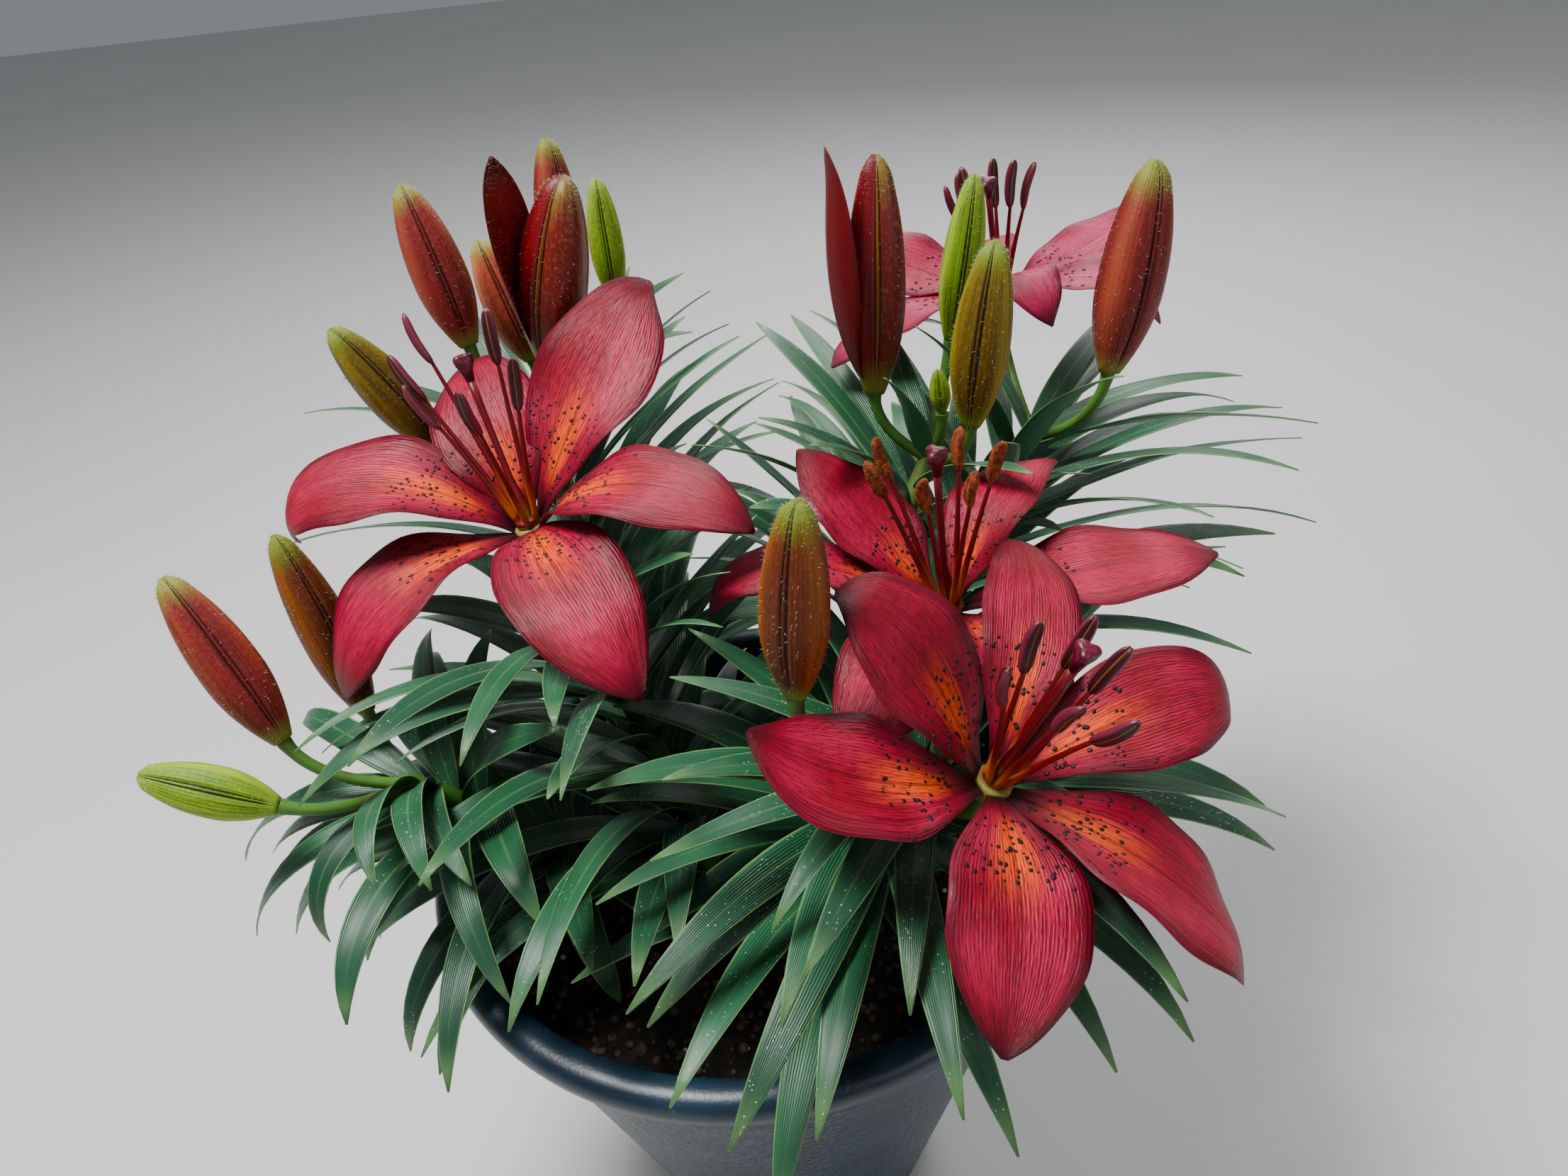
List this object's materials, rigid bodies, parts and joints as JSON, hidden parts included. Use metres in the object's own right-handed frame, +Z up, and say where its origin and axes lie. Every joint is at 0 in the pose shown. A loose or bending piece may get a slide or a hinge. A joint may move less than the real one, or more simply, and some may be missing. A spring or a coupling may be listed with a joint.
{
  "type": "potted asiatic lily",
  "caption": "Asiatic lilies in flower in a round blue plastic pot of soil, with red blooms, buds and narrow green leaves.",
  "frame": {"origin": "middle of the pot's flat underside, on the surface that it stands on", "axes": "+Z up; -Y towards the viewer of the picture; +X to the picture's right"},
  "size_m": [0.4254, 0.3666, 0.4395],
  "materials": {
    "pot": "slate blue plastic, dimpled wall",
    "soil": "dark moist peat",
    "leaf": "deep green leaves with a dull wax gloss",
    "tepal_a": "rose red with an orange flame and dark spots",
    "tepal_b": "rose red with an orange flame and dark spots",
    "tepal_c": "rose red with an orange flame and dark spots",
    "tepal_d": "rose pink with an orange flame",
    "stamen_dark": "dark red filaments with closed maroon anthers",
    "stamen_pollen": "dark red filaments with open orange brown anthers",
    "pistil": "purple red",
    "opening_bud": "deep crimson",
    "bud_red": "dusky red with green tips",
    "bud_pink": "pale pink brown",
    "bud_brown": "yellow brown with dark grooves",
    "bud_olive": "olive yellow green",
    "bud_green": "light yellow green"
  },
  "bodies": {
    "root": {"pot": "pot", "soil": "soil", "leafy_stem_1": "leaf", "leafy_stem_2": "leaf", "leafy_stem_3": "leaf", "leafy_stem_4": "leaf", "leafy_stem_5": "leaf", "leafy_stem_6": "leaf", "tepals_a": "tepal_a", "stamens_a": "stamen_dark", "pistil_a": "pistil", "tepals_b": "tepal_b", "stamens_b": "stamen_dark", "pistil_b": "pistil", "tepals_c": "tepal_c", "stamens_c": "stamen_pollen", "pistil_c": "pistil", "tepals_d": "tepal_d", "stamens_d": "stamen_dark", "pistil_d": "pistil", "opening_bud_1": "opening_bud", "opening_bud_2": "opening_bud", "bud_1": "bud_red", "bud_2": "bud_pink", "bud_3": "bud_red", "bud_4": "bud_green", "bud_5": "bud_olive", "bud_6": "bud_brown", "bud_7": "bud_red", "bud_8": "bud_green", "bud_9": "bud_brown", "bud_10": "bud_green", "bud_11": "bud_olive", "bud_12": "bud_green", "bud_13": "bud_red"}
  },
  "joints": []
}
